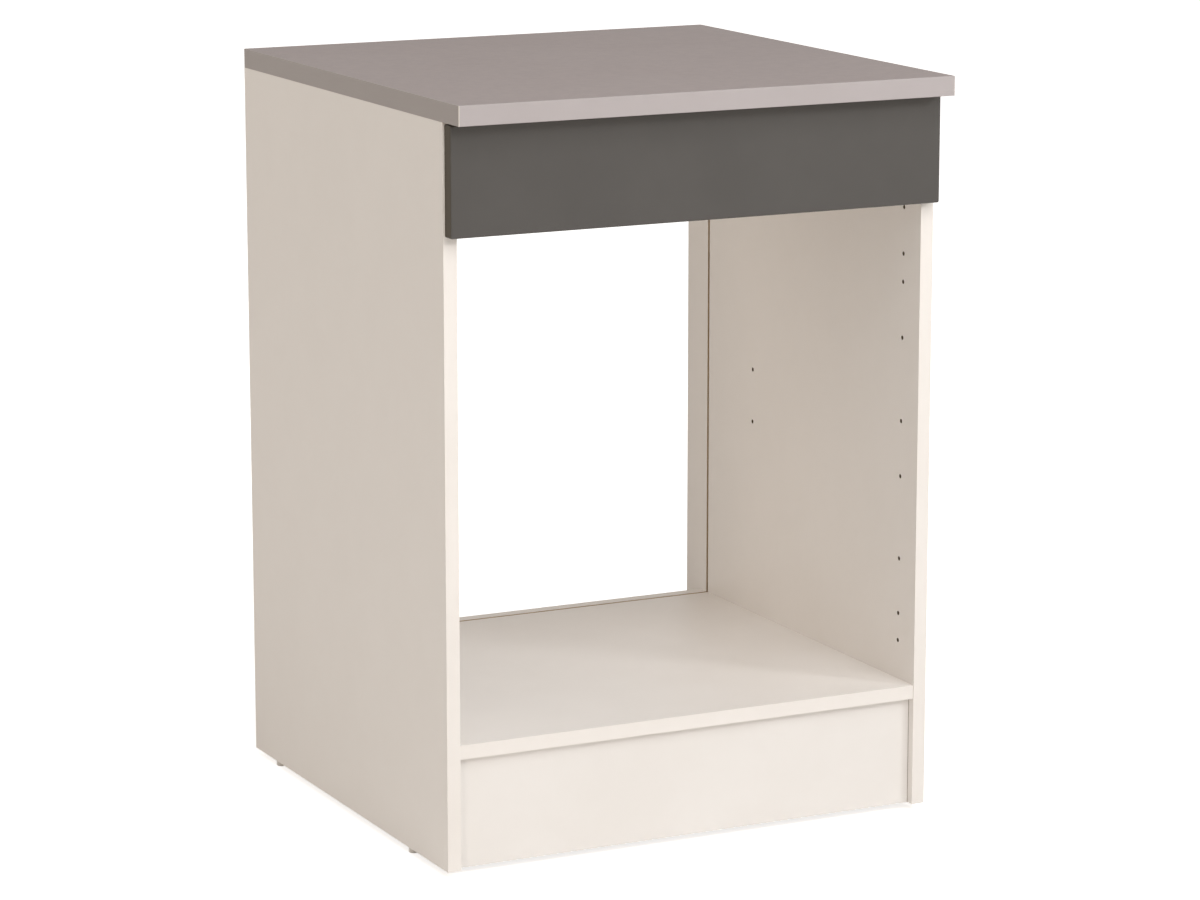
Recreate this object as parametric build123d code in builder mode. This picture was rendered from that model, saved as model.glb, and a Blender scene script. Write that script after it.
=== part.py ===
from build123d import *
import os

# A 60 cm kitchen base unit that carries a built-under oven. Two side panels, a bottom panel and a
# plinth board stand on nail-on glides, two flat rails tie the sides at the top, and a laminated
# worktop and a fixed fascia close the top and the front above the oven's niche.
# X runs to the right, Y to the back and Z up. The origin is on the floor, under the middle of the
# worktop. All lengths are millimetres.

os.makedirs("parts", exist_ok=True)

# Outside sizes
unit_width = 600.0
unit_depth = 600.0
unit_height = 850.0
worktop_thickness = 22.0
worktop_overhang = 42.0
glide_height = 8.0

# Boards of the carcass
board_thickness = 16.0
edge_band_thickness = 0.6
edge_band_radius = 0.5
largest_round_share = 0.9
plinth_height = 125.0
plinth_setback = 10.0
bottom_panel_setback = 1.0
rail_width = 100.0

# Groove for a back panel, cut through the sides, the bottom panel and the rear rail
groove_width = 4.5
groove_depth = 7.0
groove_from_rear = 52.0
board_behind_groove = 16.0

# Fascia
fascia_height = 120.0
fascia_thickness = 16.0
fascia_side_gap = 2.0
fascia_top_gap = 2.0
fascia_edge_radius = 2.0

# Layers and bands of the worktop
laminate_thickness = 0.8
backing_thickness = 0.4
front_band_thickness = 1.5
front_band_radius = 1.0
side_band_thickness = 0.8
side_band_radius = 0.6

# Drilled rows in the sides, on the 32 mm system
system_pitch = 32.0
system_from_front = 37.0
system_hole_diameter = 5.0
system_hole_depth = 12.0
system_row_count = 15
front_column_rows = (0, 1, 3, 6, 8, 11, 13, 14)
rear_column_rows = (6, 8)
rear_column_pitches = 11

# Places of the cams and dowels, from the outer edge of each board
outer_fitting = 37.0
inner_fitting = 69.0
bottom_dowel_from_front = 101.0
bottom_dowel_from_rear = 133.0
plinth_dowel_heights = (35.0, 90.0)

# Cam locks: a die-cast drum that turns in a bore and draws in the head of a bolt
cam_diameter = 15.0
cam_height = 12.5
cam_from_board_end = 24.0
cam_bore_depth = 13.0
running_clearance = 0.05
cavity_diameter = 11.7
cavity_offset = 0.25
cavity_head_clearance = 0.5
slot_neck_clearance = 0.4
entry_head_clearance = 0.4
slot_lead_angle = 32.0
unlock_angle = 190.0
driver_slot_length = 6.5
driver_slot_width = 1.2
driver_slot_depth = 2.2
pointer_radius = 1.6
pointer_depth = 0.4
pointer_from_middle = 5.6

# Cam bolts, measured outwards from the middle of the cam
bolt_head_start = 2.4
bolt_head_diameter = 6.6
bolt_head_length = 1.6
bolt_shoulder_length = 2.0
bolt_neck_diameter = 4.2
bolt_neck_end = 8.5
bolt_shank_diameter = 6.0
bolt_collar_diameter = 7.8
bolt_collar_length = 2.5
bolt_thread_length = 11.0
bolt_tip_length = 1.0
bolt_channel_diameter = 8.0

# Dowels
dowel_diameter = 8.0
dowel_length = 30.0
dowel_in_side = 12.0
dowel_chamfer = 1.0
dowel_end_clearance = 0.5

# Pan-head screws
screw_diameter = 3.5
screw_head_diameter = 7.0
screw_head_height = 2.4
screw_bite = 12.0
screw_tip_length = 2.5
screw_tip_radius = 0.3
screw_slot_share = 0.6
screw_slot_width = 0.9
screw_slot_depth = 1.2
screw_hole_diameter = 4.0
pilot_clearance = 0.05
pilot_end_clearance = 0.5

# Worktop screws
worktop_screw_diameter = 4.0
worktop_screw_head_diameter = 8.0
worktop_screw_bite = 14.0
worktop_screw_hole_diameter = 4.5
worktop_screw_spacing = 400.0

# Steel angle brackets that hold the fascia
bracket_leg = 22.0
bracket_thickness = 2.0
bracket_bend_radius = 1.0
bracket_height = 60.0
bracket_hole_from_corner = 13.0
bracket_hole_spacing = 32.0

# Corner blocks between the plinth board and the bottom panel
block_size = 22.0
block_length = 40.0
block_spacing = 300.0
block_chamfer = 6.0
block_seat_depth = 6.0
block_screw_offset = 10.0
block_counterbore_diameter = 8.4

# Glides and their nails
glide_diameter = 11.0
glide_edge_radius = 1.5
front_glide_from_front = 110.0
rear_glide_from_rear = 60.0
nail_diameter = 2.0
nail_head_diameter = 5.0
nail_head_thickness = 1.0
nail_head_height = 3.0
nail_bite = 15.0
nail_clearance = 0.05

# Planes and lines that the pieces share
side_front = worktop_overhang - unit_depth / 2
side_rear = unit_depth / 2
side_foot = glide_height
side_top = unit_height - worktop_thickness
inner_half = unit_width / 2 - board_thickness
side_middle = unit_width / 2 - board_thickness / 2
groove_rear = side_rear - groove_from_rear
groove_front = groove_rear - groove_width
board_rear = groove_rear + board_behind_groove
bottom_underside = side_foot + plinth_height
bottom_top = bottom_underside + board_thickness
bottom_front = side_front + bottom_panel_setback
plinth_front = side_front + plinth_setback
plinth_rear = plinth_front + board_thickness
rail_underside = side_top - board_thickness
front_rail_rear = side_front + rail_width
rear_rail_front = board_rear - rail_width
fascia_top = side_top - fascia_top_gap
fascia_bottom = fascia_top - fascia_height
fascia_middle = (fascia_top + fascia_bottom) / 2
fascia_half_width = unit_width / 2 - fascia_side_gap
worktop_front = -unit_depth / 2

# Rows of fittings across the depth of the unit
front_cam_row = side_front + outer_fitting
front_rail_dowel_row = side_front + inner_fitting
rear_cam_row = board_rear - inner_fitting
rear_rail_dowel_row = board_rear - outer_fitting
bottom_dowel_rows = (side_front + bottom_dowel_from_front, board_rear - bottom_dowel_from_rear)
plinth_row = plinth_front + board_thickness / 2
plinth_dowel_levels = [side_foot + height for height in plinth_dowel_heights]
bottom_level = bottom_underside + board_thickness / 2
rail_level = rail_underside + board_thickness / 2
cam_across = inner_half - cam_from_board_end

# Pilot holes that a screw, a bolt thread or a dowel fills
pilot_diameter = screw_diameter + 2 * pilot_clearance
pilot_depth = screw_bite + pilot_end_clearance
worktop_pilot_diameter = worktop_screw_diameter + 2 * pilot_clearance
bolt_thread_diameter = system_hole_diameter - 2 * pilot_clearance
dowel_hole_diameter = dowel_diameter + 2 * pilot_clearance
dowel_hole_in_side = dowel_in_side + dowel_end_clearance
dowel_hole_in_end = dowel_length - dowel_in_side + dowel_end_clearance
nail_hole_diameter = nail_diameter + 2 * nail_clearance

UP = (0, 0, 1)
DOWN = (0, 0, -1)
FORWARD = (0, -1, 0)
BACKWARD = (0, 1, 0)
SIDES = {"left": -1, "right": 1}


def rectangle_between(low, high):
    """Draw a rectangle between two opposite corners in the open sketch."""
    with Locations(((low[0] + high[0]) / 2, (low[1] + high[1]) / 2)):
        Rectangle(high[0] - low[0], high[1] - low[1])


def drill(points, outward, diameter, depth):
    """Drill blind holes of one size from points on a face that looks in the outward direction."""
    with Locations(*[Plane(origin=point, z_dir=outward) for point in points]):
        Hole(radius=diameter / 2, depth=depth)


def both_ways_up(points):
    """Repeat each (x, y, z) hole about the side's mid-height, so one board serves either side."""
    twins = [(x, y, side_foot + side_top - z) for x, y, z in points]
    return points + twins


# Side panels

def side_screw_points(side):
    """The points on a side panel's inner face where the fascia bracket is screwed on."""
    row = side_front + bracket_hole_from_corner
    levels = (fascia_middle - bracket_hole_spacing / 2, fascia_middle + bracket_hole_spacing / 2)
    return [(side * inner_half, row, level) for level in levels]


def glide_points(side):
    """The points under a side panel where its two glides stand, level with the panel's foot."""
    rows = (side_front + front_glide_from_front, side_rear - rear_glide_from_rear)
    return [(side * side_middle, row, side_foot) for row in rows]


def build_side_panel(label, side):
    """One coated chipboard side, drilled and grooved from its inner face."""
    inner_face = side * inner_half
    inward = (-side, 0, 0)
    lowest_row = (side_foot + side_top - (system_row_count - 1) * system_pitch) / 2
    front_column = side_front + system_from_front
    rear_column = front_column + rear_column_pitches * system_pitch
    system_holes = [(inner_face, front_column, lowest_row + row * system_pitch) for row in front_column_rows]
    system_holes += [(inner_face, rear_column, lowest_row + row * system_pitch) for row in rear_column_rows]
    bolt_holes = [(inner_face, row, bottom_level) for row in (front_cam_row, rear_cam_row)]
    bolt_holes += [(inner_face, row, rail_level) for row in (front_cam_row, rear_cam_row)]
    dowel_holes = [(inner_face, row, bottom_level) for row in bottom_dowel_rows]
    dowel_holes += [(inner_face, row, rail_level) for row in (front_rail_dowel_row, rear_rail_dowel_row)]
    dowel_holes += [(inner_face, plinth_row, level) for level in plinth_dowel_levels]
    with BuildPart() as side_panel:
        with BuildSketch(Plane.YZ.offset(inner_face)):
            rectangle_between((side_front + edge_band_thickness, side_foot), (side_rear, side_top))
        extrude(amount=side * board_thickness)
        with BuildSketch(Plane.YZ.offset(inner_face)):
            rectangle_between((groove_front, side_foot), (groove_rear, side_top))
        extrude(amount=side * groove_depth, mode=Mode.SUBTRACT)
        drill(system_holes, inward, system_hole_diameter, system_hole_depth)
        drill(both_ways_up(bolt_holes), inward, system_hole_diameter, system_hole_depth)
        drill(both_ways_up(dowel_holes), inward, dowel_hole_diameter, dowel_hole_in_side)
        drill(side_screw_points(side), inward, pilot_diameter, pilot_depth)
        drill(glide_points(side), DOWN, nail_hole_diameter, nail_bite + pilot_end_clearance)
    side_panel.part.label = label
    export_step(side_panel.part, f"parts/{label}.step")


def build_side_edge_band(label, side):
    """The thin band glued on a side panel's front edge, with its long arrises eased."""
    with BuildPart() as band:
        with BuildSketch(Plane.YZ.offset(side * inner_half)):
            rectangle_between((side_front, side_foot), (side_front + edge_band_thickness, side_top))
        extrude(amount=side * board_thickness)
        front_arrises = band.edges().filter_by(Axis.Z).group_by(Axis.Y)[0]
        fillet(front_arrises, radius=min(edge_band_radius, edge_band_thickness * largest_round_share))
    band.part.label = label
    export_step(band.part, f"parts/{label}.step")


for side_name, side in SIDES.items():
    build_side_panel(f"{side_name}_side_panel", side)
    build_side_edge_band(f"{side_name}_side_edge_band", side)


# Boards that lie between the sides

def drill_board_ends(underside, cam_rows, dowel_rows):
    """Bore a flat board for its cams, and drill its two ends for the cam bolts and dowels."""
    level = underside + board_thickness / 2
    for side in SIDES.values():
        outward = (side, 0, 0)
        cam_points = [(side * cam_across, row, underside) for row in cam_rows]
        bolt_points = [(side * inner_half, row, level) for row in cam_rows]
        dowel_points = [(side * inner_half, row, level) for row in dowel_rows]
        drill(cam_points, DOWN, cam_diameter + 2 * running_clearance, cam_bore_depth)
        drill(bolt_points, outward, bolt_channel_diameter, cam_from_board_end)
        drill(dowel_points, outward, dowel_hole_diameter, dowel_hole_in_end)


def block_screw_points(side):
    """Where a corner block's screws enter: one up into the bottom panel, one into the plinth."""
    middle = side * block_spacing / 2
    into_bottom = (middle + side * block_screw_offset, plinth_rear + block_size / 2, bottom_underside)
    into_plinth = (middle - side * block_screw_offset, plinth_rear, bottom_underside - block_size / 2)
    return into_bottom, into_plinth


with BuildPart() as bottom_panel:
    with BuildSketch(Plane.XY.offset(bottom_underside)):
        rectangle_between((-inner_half, bottom_front + edge_band_thickness), (inner_half, board_rear))
    extrude(amount=board_thickness)
    with BuildSketch(Plane.XY.offset(bottom_top)):
        rectangle_between((-inner_half, groove_front), (inner_half, groove_rear))
    extrude(amount=-groove_depth, mode=Mode.SUBTRACT)
    drill_board_ends(bottom_underside, (front_cam_row, rear_cam_row), bottom_dowel_rows)
    drill([block_screw_points(side)[0] for side in SIDES.values()], DOWN, pilot_diameter, pilot_depth)
bottom_panel.part.label = "bottom_panel"
export_step(bottom_panel.part, "parts/bottom_panel.step")

with BuildPart() as bottom_edge_band:
    with BuildSketch(Plane.XY.offset(bottom_underside)):
        rectangle_between((-inner_half, bottom_front), (inner_half, bottom_front + edge_band_thickness))
    extrude(amount=board_thickness)
    front_arrises = bottom_edge_band.edges().filter_by(Axis.X).group_by(Axis.Y)[0]
    fillet(front_arrises, radius=min(edge_band_radius, edge_band_thickness * largest_round_share))
bottom_edge_band.part.label = "bottom_panel_edge_band"
export_step(bottom_edge_band.part, "parts/bottom_panel_edge_band.step")

with BuildPart() as plinth_board:
    with BuildSketch(Plane.XY.offset(side_foot)):
        rectangle_between((-inner_half, plinth_front), (inner_half, plinth_rear))
    extrude(amount=plinth_height)
    for side in SIDES.values():
        end_points = [(side * inner_half, plinth_row, level) for level in plinth_dowel_levels]
        drill(end_points, (side, 0, 0), dowel_hole_diameter, dowel_hole_in_end)
    drill([block_screw_points(side)[1] for side in SIDES.values()], BACKWARD, pilot_diameter, pilot_depth)
plinth_board.part.label = "plinth_board"
export_step(plinth_board.part, "parts/plinth_board.step")


# Top rails, flat under the worktop, each with a band on the long edge that looks into the niche

def worktop_screw_points(row):
    """The two places along a rail's underside where the worktop is screwed on from below."""
    return [(side * worktop_screw_spacing / 2, row, rail_underside) for side in SIDES.values()]


front_screw_row = (side_front + front_rail_rear) / 2
rear_screw_row = (rear_rail_front + board_rear) / 2

with BuildPart() as front_rail:
    with BuildSketch(Plane.XY.offset(rail_underside)):
        rectangle_between((-inner_half, side_front), (inner_half, front_rail_rear - edge_band_thickness))
    extrude(amount=board_thickness)
    drill_board_ends(rail_underside, (front_cam_row,), (front_rail_dowel_row,))
    drill(worktop_screw_points(front_screw_row), DOWN, worktop_screw_hole_diameter, board_thickness)
front_rail.part.label = "front_top_rail"
export_step(front_rail.part, "parts/front_top_rail.step")

with BuildPart() as rear_rail:
    with BuildSketch(Plane.XY.offset(rail_underside)):
        rectangle_between((-inner_half, rear_rail_front + edge_band_thickness), (inner_half, board_rear))
    extrude(amount=board_thickness)
    with BuildSketch(Plane.XY.offset(rail_underside)):
        rectangle_between((-inner_half, groove_front), (inner_half, groove_rear))
    extrude(amount=groove_depth, mode=Mode.SUBTRACT)
    drill_board_ends(rail_underside, (rear_cam_row,), (rear_rail_dowel_row,))
    drill(worktop_screw_points(rear_screw_row), DOWN, worktop_screw_hole_diameter, board_thickness)
rear_rail.part.label = "rear_top_rail"
export_step(rear_rail.part, "parts/rear_top_rail.step")


def build_rail_edge_band(label, front, open_edges):
    """The band on a rail's inner edge; open_edges picks its front (0) or rear (-1) arrises."""
    with BuildPart() as band:
        with BuildSketch(Plane.XY.offset(rail_underside)):
            rectangle_between((-inner_half, front), (inner_half, front + edge_band_thickness))
        extrude(amount=board_thickness)
        open_arrises = band.edges().filter_by(Axis.X).group_by(Axis.Y)[open_edges]
        fillet(open_arrises, radius=min(edge_band_radius, edge_band_thickness * largest_round_share))
    band.part.label = label
    export_step(band.part, f"parts/{label}.step")


build_rail_edge_band("front_rail_edge_band", front_rail_rear - edge_band_thickness, -1)
build_rail_edge_band("rear_rail_edge_band", rear_rail_front, 0)


# Worktop: a chipboard core between a top laminate and a balancing sheet, banded on three edges

core_half = unit_width / 2 - side_band_thickness
core_front = worktop_front + front_band_thickness
worktop_screw_seats = worktop_screw_points(front_screw_row) + worktop_screw_points(rear_screw_row)
core_pilots = [(x, y, side_top) for x, y, z in worktop_screw_seats]


def build_worktop_layer(label, bottom, thickness, pilot):
    """One flat layer of the worktop, with the pilot holes that reach into it from below."""
    with BuildPart() as layer:
        with BuildSketch(Plane.XY.offset(bottom)):
            rectangle_between((-core_half, core_front), (core_half, side_rear))
        extrude(amount=thickness)
        if pilot:
            drill(core_pilots, DOWN, worktop_pilot_diameter, worktop_screw_bite + pilot_end_clearance)
    layer.part.label = label
    export_step(layer.part, f"parts/{label}.step")


core_thickness = worktop_thickness - laminate_thickness - backing_thickness
build_worktop_layer("worktop_backing_sheet", side_top, backing_thickness, True)
build_worktop_layer("worktop_core", side_top + backing_thickness, core_thickness, True)
build_worktop_layer("worktop_laminate", unit_height - laminate_thickness, laminate_thickness, False)

with BuildPart() as worktop_front_band:
    with BuildSketch(Plane.XY.offset(side_top)):
        rectangle_between((-unit_width / 2, worktop_front), (unit_width / 2, core_front))
    extrude(amount=worktop_thickness)
    front_arrises = worktop_front_band.edges().filter_by(Axis.X).group_by(Axis.Y)[0]
    fillet(front_arrises, radius=min(front_band_radius, front_band_thickness * largest_round_share))
worktop_front_band.part.label = "worktop_front_band"
export_step(worktop_front_band.part, "parts/worktop_front_band.step")


def build_worktop_side_band(label, side):
    """The thin band on one end of the worktop, from the front band to the rear edge."""
    with BuildPart() as band:
        with BuildSketch(Plane.YZ.offset(side * core_half)):
            rectangle_between((core_front, side_top), (side_rear, unit_height))
        extrude(amount=side * side_band_thickness)
        outer_arrises = band.edges().filter_by(Axis.Y).sort_by(Axis.X)
        outer_arrises = outer_arrises[-2:] if side > 0 else outer_arrises[:2]
        fillet(outer_arrises, radius=min(side_band_radius, side_band_thickness * largest_round_share))
    band.part.label = label
    export_step(band.part, f"parts/{label}.step")


for side_name, side in SIDES.items():
    build_worktop_side_band(f"worktop_{side_name}_band", side)


# Fascia: a wrapped board in front of the sides, and the angle brackets behind it

def fascia_screw_points(side):
    """The points on the fascia's rear face where its bracket is screwed on."""
    across = side * (inner_half - bracket_hole_from_corner)
    return [(across, side_front, level) for _, _, level in side_screw_points(side)]


with BuildPart() as fascia:
    with BuildSketch(Plane.XZ.offset(-side_front)):
        rectangle_between((-fascia_half_width, fascia_bottom), (fascia_half_width, fascia_top))
    extrude(amount=fascia_thickness)
    fillet(fascia.edges().filter_by(Axis.Y), radius=fascia_edge_radius)
    fillet(fascia.faces().sort_by(Axis.Y)[0].edges(), radius=fascia_edge_radius)
    for side in SIDES.values():
        drill(fascia_screw_points(side), BACKWARD, pilot_diameter, pilot_depth)
fascia.part.label = "fascia"
export_step(fascia.part, "parts/fascia.step")


def build_fascia_bracket(label, side):
    """A bent steel angle: one leg on the side panel, the other on the fascia's rear face."""
    outer_wall = side * inner_half
    leg_end = side * (inner_half - bracket_leg)
    inner_wall = side * (inner_half - bracket_thickness)
    bottom = fascia_middle - bracket_height / 2
    with BuildPart() as bracket:
        with BuildSketch(Plane.XY.offset(bottom)):
            with BuildLine():
                Polyline(
                    (outer_wall, side_front),
                    (outer_wall, side_front + bracket_leg),
                    (inner_wall, side_front + bracket_leg),
                    (inner_wall, side_front + bracket_thickness),
                    (leg_end, side_front + bracket_thickness),
                    (leg_end, side_front),
                    close=True,
                )
            make_face()
        extrude(amount=bracket_height)
        upright_edges = bracket.edges().filter_by(Axis.Z)
        inner_corner = (inner_wall, side_front + bracket_thickness, fascia_middle)
        inner_bend = upright_edges.sort_by_distance(inner_corner)[0]
        outer_bend = upright_edges.sort_by_distance((outer_wall, side_front, fascia_middle))[0]
        fillet(inner_bend, radius=bracket_bend_radius)
        fillet(outer_bend, radius=bracket_bend_radius + bracket_thickness)
        side_leg_points = [(inner_wall, y, z) for _, y, z in side_screw_points(side)]
        drill(side_leg_points, (-side, 0, 0), screw_hole_diameter, bracket_thickness)
        fascia_leg_points = [(x, y + bracket_thickness, z) for x, y, z in fascia_screw_points(side)]
        drill(fascia_leg_points, BACKWARD, screw_hole_diameter, bracket_thickness)
    bracket.part.label = label
    export_step(bracket.part, f"parts/{label}.step")


for side_name, side in SIDES.items():
    build_fascia_bracket(f"fascia_bracket_{side_name}", side)


# Screws

def make_screw(length, diameter, head_diameter):
    """A pan-head screw with a cross slot, its head seated at the origin and its shank along Z."""
    radius = diameter / 2
    head_radius = head_diameter / 2
    slot_length = head_diameter * screw_slot_share
    with BuildPart() as screw:
        with BuildSketch(Plane.XZ):
            with BuildLine():
                Polyline(
                    (0, -screw_head_height),
                    (slot_length / 2, -screw_head_height),
                    (head_radius, -screw_head_height / 2),
                    (head_radius, 0),
                    (radius, 0),
                    (radius, length - screw_tip_length),
                    (screw_tip_radius, length),
                    (0, length),
                    close=True,
                )
            make_face()
        revolve(axis=Axis.Z)
        with BuildSketch(Plane.XY.offset(-screw_head_height)):
            Rectangle(slot_length, screw_slot_width)
            Rectangle(screw_slot_width, slot_length)
        extrude(amount=screw_slot_depth, mode=Mode.SUBTRACT)
    return screw.part


def export_copies(label, piece, planes):
    """Export one node with a copy of a small piece on each plane, along the plane's Z."""
    with BuildPart() as copies:
        with Locations(*planes):
            add(piece)
    copies.part.label = label
    export_step(copies.part, f"parts/{label}.step")


bracket_screw_seats = []
for side in SIDES.values():
    for x, y, z in side_screw_points(side):
        bracket_screw_seats.append(Plane(origin=(x - side * bracket_thickness, y, z), z_dir=(side, 0, 0)))
    for x, y, z in fascia_screw_points(side):
        bracket_screw_seats.append(Plane(origin=(x, y + bracket_thickness, z), z_dir=FORWARD))
bracket_screw = make_screw(bracket_thickness + screw_bite, screw_diameter, screw_head_diameter)
export_copies("fascia_bracket_screws", bracket_screw, bracket_screw_seats)

worktop_screw_length = board_thickness + worktop_screw_bite
worktop_screw = make_screw(worktop_screw_length, worktop_screw_diameter, worktop_screw_head_diameter)
worktop_screw_planes = [Plane(origin=seat, z_dir=UP) for seat in worktop_screw_seats]
export_copies("worktop_screws", worktop_screw, worktop_screw_planes)


# Corner blocks that fix the bottom panel to the plinth board

def build_plinth_block(label, side):
    """A moulded block, counterbored for one screw up into the bottom panel and one into the plinth."""
    block_start = side * block_spacing / 2 - block_length / 2
    block_underside = bottom_underside - block_size
    block_rear = plinth_rear + block_size
    into_bottom, into_plinth = block_screw_points(side)
    from_below = Plane(origin=(into_bottom[0], into_bottom[1], block_underside), z_dir=DOWN)
    from_behind = Plane(origin=(into_plinth[0], block_rear, into_plinth[2]), z_dir=BACKWARD)
    with BuildPart() as block:
        with BuildSketch(Plane.YZ.offset(block_start)):
            rectangle_between((plinth_rear, block_underside), (block_rear, bottom_underside))
        extrude(amount=block_length)
        rear_low_edge = block.edges().filter_by(Axis.X).group_by(Axis.Z)[0].sort_by(Axis.Y)[-1]
        chamfer(rear_low_edge, length=block_chamfer)
        with Locations(from_below, from_behind):
            CounterBoreHole(
                radius=screw_hole_diameter / 2,
                counter_bore_radius=block_counterbore_diameter / 2,
                counter_bore_depth=block_size - block_seat_depth,
                depth=block_size,
            )
    block.part.label = label
    export_step(block.part, f"parts/{label}.step")


block_screw_seats = []
for side_name, side in SIDES.items():
    build_plinth_block(f"plinth_block_{side_name}", side)
    (x, y, z), (plinth_x, plinth_y, plinth_z) = block_screw_points(side)
    block_screw_seats.append(Plane(origin=(x, y, z - block_seat_depth), z_dir=UP))
    block_screw_seats.append(Plane(origin=(plinth_x, plinth_y + block_seat_depth, plinth_z), z_dir=FORWARD))
block_screw = make_screw(block_seat_depth + screw_bite, screw_diameter, screw_head_diameter)
export_copies("plinth_block_screws", block_screw, block_screw_seats)


# Dowels, each partly in the end of a board and partly in a side panel

with BuildPart() as dowel:
    Cylinder(radius=dowel_diameter / 2, height=dowel_length, align=(Align.CENTER, Align.CENTER, Align.MIN))
    chamfer(dowel.edges().filter_by(GeomType.CIRCLE), length=dowel_chamfer)


def export_dowels(label, places):
    """Export the dowels of one joint at both sides; places lists the row and level of each."""
    inner_end = inner_half - (dowel_length - dowel_in_side)
    planes = []
    for side in SIDES.values():
        planes += [Plane(origin=(side * inner_end, row, level), z_dir=(side, 0, 0)) for row, level in places]
    export_copies(label, dowel.part, planes)


export_dowels("bottom_panel_dowels", [(row, bottom_level) for row in bottom_dowel_rows])
export_dowels("top_rail_dowels", [(row, rail_level) for row in (front_rail_dowel_row, rear_rail_dowel_row)])
export_dowels("plinth_dowels", [(plinth_row, level) for level in plinth_dowel_levels])


# Cam bolts: each is screwed into a side panel, and its head lies inside a cam

bolt_head_end = bolt_head_start + bolt_head_length
bolt_shoulder_end = bolt_head_end + bolt_shoulder_length
bolt_collar_start = cam_from_board_end - bolt_collar_length
bolt_end = cam_from_board_end + bolt_thread_length

with BuildPart() as cam_bolt:
    with BuildSketch(Plane.XZ):
        with BuildLine():
            Polyline(
                (0, bolt_head_start),
                (bolt_head_diameter / 2, bolt_head_start),
                (bolt_head_diameter / 2, bolt_head_end),
                (bolt_neck_diameter / 2, bolt_shoulder_end),
                (bolt_neck_diameter / 2, bolt_neck_end),
                (bolt_shank_diameter / 2, bolt_neck_end),
                (bolt_shank_diameter / 2, bolt_collar_start),
                (bolt_collar_diameter / 2, bolt_collar_start),
                (bolt_collar_diameter / 2, cam_from_board_end),
                (bolt_thread_diameter / 2, cam_from_board_end),
                (bolt_thread_diameter / 2, bolt_end - bolt_tip_length),
                (bolt_thread_diameter / 2 - bolt_tip_length, bolt_end),
                (0, bolt_end),
                close=True,
            )
        make_face()
    revolve(axis=Axis.Z)


def export_cam_bolts(label, level):
    """Export the four cam bolts of one level, two in each side panel."""
    planes = []
    for side in SIDES.values():
        for row in (front_cam_row, rear_cam_row):
            planes.append(Plane(origin=(side * cam_across, row, level), z_dir=(side, 0, 0)))
    export_copies(label, cam_bolt.part, planes)


export_cam_bolts("bottom_panel_cam_bolts", bottom_level)
export_cam_bolts("top_rail_cam_bolts", rail_level)


# The cam, drawn locked: it stands on the origin and its bolt comes in along +X at mid-board.
# A slot runs round the drum from the bolt to the entry hole, which meets the bolt's head when
# the cam is turned back by the unlock angle.

cavity_half_height = bolt_head_diameter / 2 + cavity_head_clearance
slot_half_height = bolt_neck_diameter / 2 + slot_neck_clearance
entry_radius = bolt_head_diameter / 2 + entry_head_clearance
entry_direction = Vector(1, 0, 0).rotate(Axis.Z, unlock_angle)
slot_plane = Plane.XY.offset(board_thickness / 2 - slot_half_height)

with BuildPart() as cam:
    Cylinder(radius=cam_diameter / 2, height=cam_height, align=(Align.CENTER, Align.CENTER, Align.MIN))
    with BuildSketch(Plane.XY.offset(board_thickness / 2 - cavity_half_height)):
        with Locations((-cavity_offset, 0)):
            Circle(cavity_diameter / 2)
    extrude(amount=2 * cavity_half_height, mode=Mode.SUBTRACT)
    with BuildSketch(slot_plane):
        with BuildLine():
            slot_arc = CenterArc((0, 0), cam_diameter, -slot_lead_angle, unlock_angle + slot_lead_angle)
            Polyline(slot_arc @ 1, (0, 0), slot_arc @ 0)
        make_face()
    extrude(amount=2 * slot_half_height, mode=Mode.SUBTRACT)
    with BuildSketch(Plane(origin=(0, 0, board_thickness / 2), z_dir=entry_direction)):
        Circle(entry_radius)
    extrude(amount=cam_diameter, mode=Mode.SUBTRACT)
    with BuildSketch(Plane.XY):
        Rectangle(driver_slot_length, driver_slot_width)
        Rectangle(driver_slot_width, driver_slot_length)
    extrude(amount=driver_slot_depth, mode=Mode.SUBTRACT)
    with BuildSketch(Plane.XY):
        with PolarLocations(pointer_from_middle, 1, start_angle=unlock_angle):
            RegularPolygon(pointer_radius, 3)
    extrude(amount=pointer_depth, mode=Mode.SUBTRACT)


def export_cam(label, side, row, underside):
    """Export one cam in its bore, turned so that its bolt comes in from the side panel."""
    turn = 0 if side > 0 else 180
    with BuildPart() as placed_cam:
        with Locations(Location((side * cam_across, row, underside), (0, 0, turn))):
            add(cam.part)
    placed_cam.part.label = label
    export_step(placed_cam.part, f"parts/{label}.step")


for side_name, side in SIDES.items():
    export_cam(f"cam_bottom_front_{side_name}", side, front_cam_row, bottom_underside)
    export_cam(f"cam_bottom_rear_{side_name}", side, rear_cam_row, bottom_underside)
    export_cam(f"cam_front_rail_{side_name}", side, front_cam_row, rail_underside)
    export_cam(f"cam_rear_rail_{side_name}", side, rear_cam_row, rail_underside)


# Glides, moulded on the heads of the nails that hold them

with BuildPart() as nail:
    with BuildSketch(Plane.XY.offset(nail_head_height)):
        Circle(nail_head_diameter / 2)
    extrude(amount=nail_head_thickness)
    with BuildSketch(Plane.XY.offset(nail_head_height)):
        Circle(nail_diameter / 2)
    extrude(amount=side_foot - nail_head_height + nail_bite)

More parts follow.
